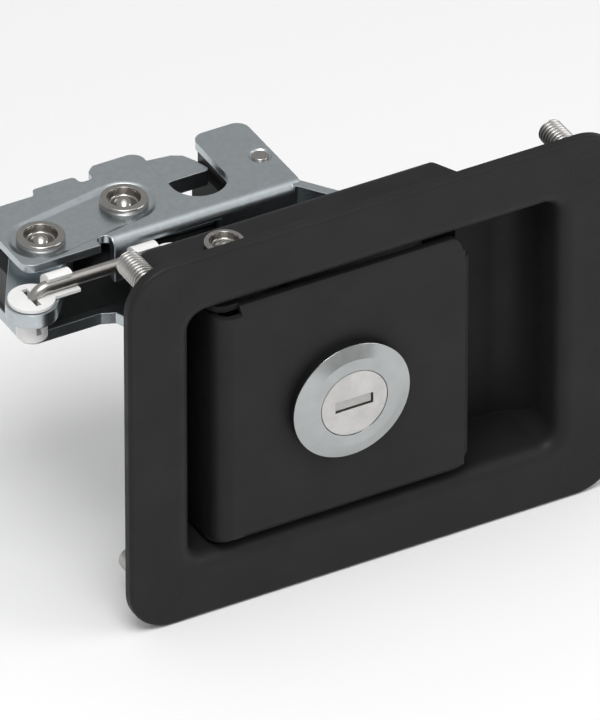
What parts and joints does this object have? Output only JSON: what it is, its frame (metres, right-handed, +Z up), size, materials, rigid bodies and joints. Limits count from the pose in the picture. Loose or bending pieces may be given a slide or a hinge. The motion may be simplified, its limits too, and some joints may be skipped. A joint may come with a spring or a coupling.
{
  "type": "paddle latch",
  "caption": "Flush paddle latch with a key lock whose lifting paddle pulls a link rod and opens a rotary latch that holds a striker.",
  "frame": {"origin": "centre of the flange's rear face, midway between the four studs", "axes": "+X to the right across the pan, +Y into the panel along the studs, +Z up along the paddle's hinge pin"},
  "size_m": [0.1368, 0.068, 0.0952],
  "materials": {
    "black_steel": "satin black powder coat",
    "stainless": "bright stainless",
    "white_nylon": "natural nylon",
    "spring_steel": "bright drawn wire",
    "zinc_plate": "bluish zinc plate",
    "black_nylon": "moulded black nylon",
    "black_rubber": "matt black rubber",
    "chrome_cast": "satin chrome",
    "plug_metal": "satin nickel",
    "polished_rod": "polished steel"
  },
  "bodies": {
    "frame": {"housing_pan": "black_steel", "mounting_studs": "stainless", "hinge_pin": "stainless", "paddle_washers": "white_nylon", "paddle_return_spring": "spring_steel", "latch_top_plate": "zinc_plate", "latch_bottom_plate": "zinc_plate", "latch_core": "black_nylon", "rotor_rivet": "stainless", "pawl_rivet": "stainless", "end_pin": "stainless", "striker_bumper": "black_rubber", "bracket_rivets": "zinc_plate", "rotor_spring": "spring_steel", "pawl_spring": "spring_steel"},
    "paddle_body": {"paddle": "black_steel", "lock_body": "chrome_cast", "bezel_gasket": "black_rubber", "lock_nut": "zinc_plate", "lock_washer": "zinc_plate", "paddle_lever": "zinc_plate"},
    "lock_plug_body": {"lock_plug": "plug_metal", "key_shutter": "plug_metal", "lock_cam": "zinc_plate", "cam_screw": "zinc_plate"},
    "rod_body": {"link_rod": "polished_rod", "trigger_clip": "white_nylon", "paddle_clip": "white_nylon"},
    "trigger_body": {"trigger_lever": "zinc_plate", "pawl": "zinc_plate"},
    "rotor_body": {"rotor": "zinc_plate", "rotor_sleeve": "black_nylon"}
  },
  "joints": [
    {"name": "paddle_hinge", "type": "hinge", "parent": "frame", "child": "paddle_body", "pos_m": [-0.0283, 0.0154, 0], "axis": [0, 0, -1], "range_deg": [0, 19], "stiffness_Nm_per_rad": 0.05, "springref_deg": -20.05},
    {"name": "lock_plug_turn", "type": "hinge", "parent": "paddle_body", "child": "lock_plug_body", "pos_m": [-0.0081, 0, 0], "axis": [0, -1, 0], "range_deg": [0, 90]},
    {"name": "rod_swing", "type": "hinge", "parent": "paddle_body", "child": "rod_body", "pos_m": [-0.0349, 0.0275, 0.0255], "axis": [0, 0, 1], "range_deg": [0, 26]},
    {"name": "trigger_pivot", "type": "hinge", "parent": "frame", "child": "trigger_body", "pos_m": [-0.0596, 0.0418, 0.025], "axis": [0, 0, 1], "range_deg": [0, 16.6]},
    {"name": "rotor_pivot", "type": "hinge", "parent": "frame", "child": "rotor_body", "pos_m": [-0.0369, 0.0457, 0.0272], "axis": [0, 0, 1], "range_deg": [0, 57.1]}
  ],
  "couplings": [
    {"joint": "rod_swing", "follows": "paddle_hinge", "ratio": 1.35},
    {"joint": "trigger_pivot", "follows": "paddle_hinge", "ratio": 0.87},
    {"joint": "rotor_pivot", "follows": "paddle_hinge", "ratio": 3}
  ]
}
